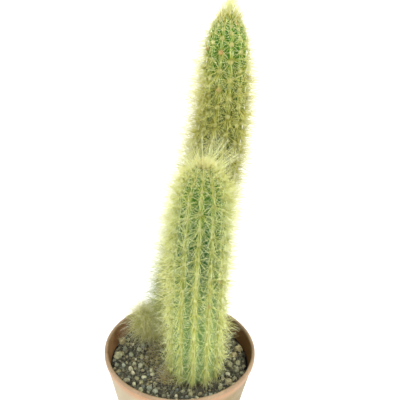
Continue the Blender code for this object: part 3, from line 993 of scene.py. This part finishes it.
# Up each stem, by its share of height: how many radials, centrals, crest spines and haze an areole has, the
# mean lengths in mm of the first three, the share of the crest spines that point down, the centrals' tint
# and the sag of them all
TUFTS = {
    "tall": (
        (0, 14, 14, 10, 100, 7, 14, 11, 0.8, 0.5, 0.5),
        (0.15, 14, 14, 10, 90, 7, 13, 11, 0.8, 0.5, 0.3),
        (0.3, 14, 14, 10, 48, 7, 13, 11, 0.8, 0.5, 0.1),
        (0.5, 15, 15, 9, 54, 7, 13.5, 10.5, 0.65, 0.6, 0),
        (0.8, 14, 13, 8, 54, 7, 13.5, 10, 0.6, 0.62, 0),
        (0.88, 14, 9, 3, 42, 6.5, 13, 9, 0.5, 0.56, 0),
        (0.95, 12, 4, 1, 5, 5, 9, 7, 0.3, 0.5, -0.1),
        (1, 10, 2, 1, 0, 4, 5, 5, 0.2, 0.6, 0),
    ),
    "short": (
        (0, 9, 4, 30, 12, 5.5, 10, 12, 0.95, 0.42, 0.5),
        (0.2, 10, 5, 24, 14, 6, 10, 11.5, 0.85, 0.42, 0.2),
        (0.38, 13, 10, 16, 20, 6.5, 11.5, 11, 0.8, 0.42, 0),
        (0.55, 15, 14, 10, 26, 7, 13, 10.5, 0.7, 0.42, 0),
        (0.73, 15, 12, 7, 24, 7, 13.5, 9.5, 0.5, 0.32, 0),
        (0.86, 14, 13, 8, 28, 7, 13.5, 9, 0.5, 0.3, 0),
        (0.93, 11, 6, 3, 18, 5, 10, 7, 0.3, 0.5, -0.1),
        (1, 13, 6, 6, 8, 5.5, 8, 8, 0.2, 0.55, -0.2),
    ),
    "offset": (
        (0, 4, 8, 4, 64, 8, 18, 14, 0.9, 0.3, 0.8),
        (0.6, 4, 6, 3, 54, 7, 16, 11, 0.8, 0.3, 0.5),
        (1, 4, 5, 2, 40, 6, 13, 8, 0.8, 0.3, 0.1),
    ),
}


def has_room(stem, point):
    """Whether a spine may pass here: clear of the other stems, the soil and the pot, and not too far out."""
    if max(abs(point.x), abs(point.y)) > SPINE_REACH:
        return False
    if any(other.distance(point) < SPINE_CLEAR for other in STEMS if other is not stem):
        return False
    inside_rim = point.xy.length < BED_RADIUS - SPINE_CLEAR
    return point.z > (SOIL_LEVEL + MM if inside_rim else POT_HEIGHT + SPINE_CLEAR)


def add_spine(stem, shape, uv, start, way, length, thick, tint, root, tip):
    """Adds the spine at the greatest length that gives its tip and its middle room, or not at all."""
    while length >= LEAST_SPINE:
        if has_room(stem, start + way * length) and has_room(stem, start + way * length * SPINE_MIDDLE):
            add_needle(shape, uv, start, way, length, thick, held(tint), root, tip)
            return
        length *= SPINE_TRIM


def spine_tuft(draw, stem, z, turned, size):
    """All the spines of one areole."""
    place, _, along, out = stem.skin_frame(z, turned)
    at = upright(place, out, along)
    tuft, uv = mapped_shape()
    share = stem.share(z)
    *counts, radial_mm, central_mm, crest_mm, falling, tint, sag = between(TUFTS[stem.name], share)
    radials, centrals, crest, haze = [round(count) for count in counts]
    wool = size * between(WOOL_LOOKS[stem.name], share)[0]
    twist = draw.uniform(0, tau)
    spines = []
    for i in range(radials):
        turn = twist + tau * i / radials + draw.gauss(0, RADIAL_STRAY)
        lean = radians(draw.uniform(*RADIAL_LEAN))
        length_mm = radial_mm * draw.uniform(*RADIAL_LENGTHS)
        shade = draw.gauss(RADIAL_TINT * tint, RADIAL_TINT_STRAY)
        spines.append((turn, lean, length_mm, 0, RADIAL_THICK, SPINE_TIP, shade))
    for count, leans, lengths, *rest in (
        (centrals, CENTRAL_LEAN, CENTRAL_LENGTHS, CREST_SCATTER, CENTRAL_THICK, SPINE_TIP),
        (haze, HAZE_LEAN, HAZE_LENGTHS, HAZE_SCATTER, HAZE_THICK, 0),
    ):
        for _ in range(count):
            turn, lean = draw.uniform(0, tau), radians(draw.uniform(*leans))
            length_mm = central_mm * draw.triangular(*lengths)
            spines.append((turn, lean, length_mm, *rest, draw.gauss(tint, TINT_STRAY)))
    for _ in range(crest):
        turn = (-pi / 2 if draw.random() < falling else pi / 2) + draw.gauss(0, CREST_STRAY)
        lean = radians(draw.triangular(*CREST_LEAN))
        length_mm = crest_mm * draw.uniform(*CREST_LENGTHS)
        shade = draw.gauss(tint + CREST_TINT, TINT_STRAY)
        spines.append((turn, lean, length_mm, CREST_SCATTER, CENTRAL_THICK, SPINE_TIP, shade))
    size *= 1 - LOPSIDED[stem.name] * out.x
    for turn, lean, length_mm, scatter, thick, tip, shade in spines:
        start = place + out * ROOT_LIFT_MM * MM + leaning(at, turn, 0) * wool * draw.uniform(*ROOT_RING)
        start += along * draw.gauss(0, scatter)
        way = (leaning(at, turn, lean) - Vector((0, 0, sag))).normalized()
        root = ROOT_PLACE if tip else HAZE_ROOT
        add_spine(stem, tuft, uv, start, way, length_mm * MM * size, draw.uniform(*thick), shade, root, tip)
    return tuft


# The spines' colours from root to tip: of the pale, the golden and the brown ones
SPINE_FAMILIES = (
    ((0, (0.48, 0.57, 0.15)), (0.3, (0.68, 0.78, 0.27)), (1, (0.93, 0.98, 0.72))),
    (
        (0, (0.56, 0.52, 0.08)), (0.3, (0.74, 0.73, 0.14)), (0.7, (0.9, 0.91, 0.34)),
        (1, (0.95, 0.97, 0.7)),
    ),
    ((0, (0.48, 0.32, 0.08)), (0.4, (0.74, 0.6, 0.16)), (1, (0.92, 0.86, 0.5))),
)
# Up each stem, by its share of height: what age has left of the colour, and painted light. Low on the tall
# stem it is partly age and partly painted shade; over the offset it is painted light, above the spines' own
# colour, against the shadow of the stems round it
AGE_AND_PAINTED_LIGHT = {
    "tall": (
        (0, (0.88, 0.84, 0.76)), (0.08, (0.7, 0.72, 0.56)), (0.2, (0.48, 0.57, 0.42)),
        (0.4, (0.84, 0.85, 0.68)), (0.75, (0.9, 0.9, 0.72)), (0.9, (1, 1, 1)),
    ),
    "short": ((0, (0.94, 0.96, 0.94)), (0.4, (1, 1, 1))),
    "offset": ((0, (1.07, 1, 1.2)), (1, (1.07, 1.02, 1.3))),
    "fallen": ((0, (0.66, 0.57, 0.95)), (1, (0.66, 0.57, 0.95))),
}


def spine_material(name, stem):
    made, tree, shader = new_material("spine_" + name, Roughness=0.45, Specular_IOR_Level=0.3)
    _, parts = object_place(tree)
    # Age, with painted shade low on the tall stem and painted light on the offset, multiplied in by height
    age_and_light = height_ramp(tree, parts.outputs["Z"], stem, AGE_AND_PAINTED_LIGHT[name])
    colour = blended(tree, 1, mapped_colour(tree, SPINE_FAMILIES), age_and_light, "MULTIPLY")
    tree.links.new(colour, shader.inputs["Base Color"])
    return made


# Each crown: how many young tufts, how wide round the tip, by the dome's radius, how far they lean to +X,
# and from its middle out, by share: how many spines a tuft has, their mean length in mm, their spread, their
# lean out, their place on the map at the root and their tint
CROWNS = {
    "tall": (34, 0.6, 0.15, (
        (0, 9, 20, 0.14, 0, 0.6, 0.46), (0.42, 7, 16, 0.2, 0.05, 0.5, 0.46),
        (0.62, 9, 8, 0.28, 0.1, 0.04, 0.62), (1, 11, 4.5, 0.4, 0.35, 0.04, 0.8),
    )),
    "short": (24, 0.3, 0.45, ((0, 20, 4.5, 0.5, 0, 0.04, 0.72), (1, 16, 5.5, 0.6, 0.8, 0.04, 0.66))),
    "offset": (10, 0.6, -0.3, ((0, 10, 5, 0.6, 0, 0.2, 0.3), (1, 12, 6, 0.6, 0.8, 0.2, 0.3))),
}
CROWN_THICK = (0.1 * MM, 0.14 * MM)
CROWN_LENGTHS = (0.5, 1.2)
CROWN_SCATTER_MM = 0.35
CROWN_TINT_STRAY = 0.08
# The long fine strands that rise through it: how many, their mean length in mm, how far they lean out, how
# far all of them lean to +X, and how wide their roots spread, by the dome's radius
STRANDS = {
    "tall": (60, 18, 0.5, 0.18, 0.6),
    "short": (210, 18, 1.3, 0.15, 0.5),
    "offset": (10, 9, 0.9, -0.3, 0.6),
}
STRAND_THICK = (0.045 * MM, 0.075 * MM)
STRAND_LENGTHS = (0.7, 1.2)
STRAND_SPREAD = 0.12
STRAND_ROOT = 0.5
STRAND_TINT = (0.32, 0.08)
TIP_SINK = 0.01 * MM
GOLDEN_ANGLE = pi * (3 - sqrt(5))


def crown_place(stem, turned, share):
    """A point on the dome at that share of its radius."""
    return stem.skin(stem.top - stem.dome * (1 - sqrt(1 - share * share)) - TIP_SINK, turned)


def crown_tuft(draw, stem, index):
    """One of the youngest tufts, set in a golden-angle spiral round the tip."""
    count, width, sway, stops = CROWNS[stem.name]
    outward = sqrt(index / count)
    turned = index * GOLDEN_ANGLE
    place = crown_place(stem, turned, width * outward)
    tuft, uv = mapped_shape()
    side = Vector((cos(turned), sin(turned), 0))
    spines, length_mm, spread, lean, root, tint = between(stops, outward)
    for _ in range(round(spines)):
        aside = Vector([draw.gauss(0, 1) for _ in range(3)])
        way = (side * lean + Vector((sway, 0, 1)) + aside * spread).normalized()
        length = length_mm * MM * draw.uniform(*CROWN_LENGTHS)
        start = place + aside * CROWN_SCATTER_MM * MM
        shade = draw.gauss(tint, CROWN_TINT_STRAY)
        add_spine(stem, tuft, uv, start, way, length, draw.uniform(*CROWN_THICK), shade, root, SPINE_TIP)
    return tuft


def crown_strands(draw, stem):
    """The long pale spines that rise and fan out through the crown."""
    count, length_mm, lean, sway, width = STRANDS[stem.name]
    strands, uv = mapped_shape()
    for _ in range(count):
        outward, turned = sqrt(draw.random()), draw.uniform(0, tau)
        side = Vector((cos(turned), sin(turned), 0))
        aside = Vector([draw.gauss(0, STRAND_SPREAD) for _ in range(3)])
        way = (side * lean * outward + Vector((sway, 0, 1)) + aside).normalized()
        start = crown_place(stem, turned, width * outward)
        length = length_mm * MM * draw.uniform(*STRAND_LENGTHS)
        thick = draw.uniform(*STRAND_THICK)
        tint = draw.gauss(*STRAND_TINT)
        add_spine(stem, strands, uv, start, way, length, thick, tint, STRAND_ROOT, SPINE_TIP)
    return strands


draw = random.Random(5)
for stem in STEMS:
    whole = bmesh.new()
    for z, turned, size in stem.areoles():
        add_part(whole, spine_tuft(draw, stem, z, turned, size))
    for index in range(CROWNS[stem.name][0]):
        add_part(whole, crown_tuft(draw, stem, index))
    add_part(whole, crown_strands(draw, stem))
    spines = new_object("spines_" + stem.name, whole, spine_material(stem.name, stem))
    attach(spines, "root")

# The fallen spines: straw-brown heaps of shed ones between the feet of the stems and against the short
# one's, and a few that lie across the grit. Each is a three-sided spike laid on the soil.
FALLEN_LENGTH = (4 * MM, 10 * MM)
FALLEN_THICK = (0.12 * MM, 0.2 * MM)
FALLEN_TILT = 0.08
FALLEN_TINT = (0.4, 0.25)
FALLEN_CLEAR = 0.5 * MM
LOOSE_COUNT = 50
LOOSE_MARGIN = 4 * MM
# How high a fallen spine lies at the least, and a loose one at the most, in millimetres
FALLEN_LEAST = 0.6
LOOSE_HEIGHT = 3
# Each heap: how many, then its place, its spread and its height in millimetres
HEAPS = ((240, (-17, 3), (5, 9), 3), (260, (-7, -21), (3, 4), 9))


def heap_place(draw, at, spread):
    return draw.gauss(at[0], spread[0]) * MM, draw.gauss(at[1], spread[1]) * MM


def loose_place(draw):
    radius = (BED_RADIUS - LOOSE_MARGIN) * sqrt(draw.random())
    turn = draw.uniform(0, tau)
    return radius * cos(turn), radius * sin(turn)


def fallen_spine(draw, height, pick_place, *about):
    """One spine lying on the soil, the flatter the lower its heap, clear of the stems and the pot's wall."""
    while True:
        x, y = pick_place(draw, *about)
        start = Vector((x, y, soil_height(x, y) + draw.uniform(FALLEN_LEAST, height) * MM))
        heading = draw.uniform(0, tau)
        tilt = draw.uniform(-FALLEN_TILT, FALLEN_TILT) * height
        way = Vector((cos(heading), sin(heading), tilt)).normalized()
        length = draw.uniform(*FALLEN_LENGTH)
        end = start + way * length
        along = [start + way * length * share for share in (0, 0.5, 1)]
        clear = all(stem.distance(point) > FALLEN_CLEAR for stem in STEMS for point in along)
        inside = max(start.xy.length, end.xy.length) < BED_RADIUS - MM
        if clear and inside and end.z > soil_height(end.x, end.y):
            shape, uv = mapped_shape()
            thick = draw.uniform(*FALLEN_THICK)
            add_needle(shape, uv, start, way, length, thick, held(draw.gauss(*FALLEN_TINT)))
            return shape


draw = random.Random(3)
whole = bmesh.new()
for count, place, spread, height in HEAPS:
    for _ in range(count):
        add_part(whole, fallen_spine(draw, height, heap_place, place, spread))
for _ in range(LOOSE_COUNT):
    add_part(whole, fallen_spine(draw, LOOSE_HEIGHT, loose_place))
fallen = new_object("fallen_spines", whole, spine_material("fallen", OFFSET))
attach(fallen, "root")
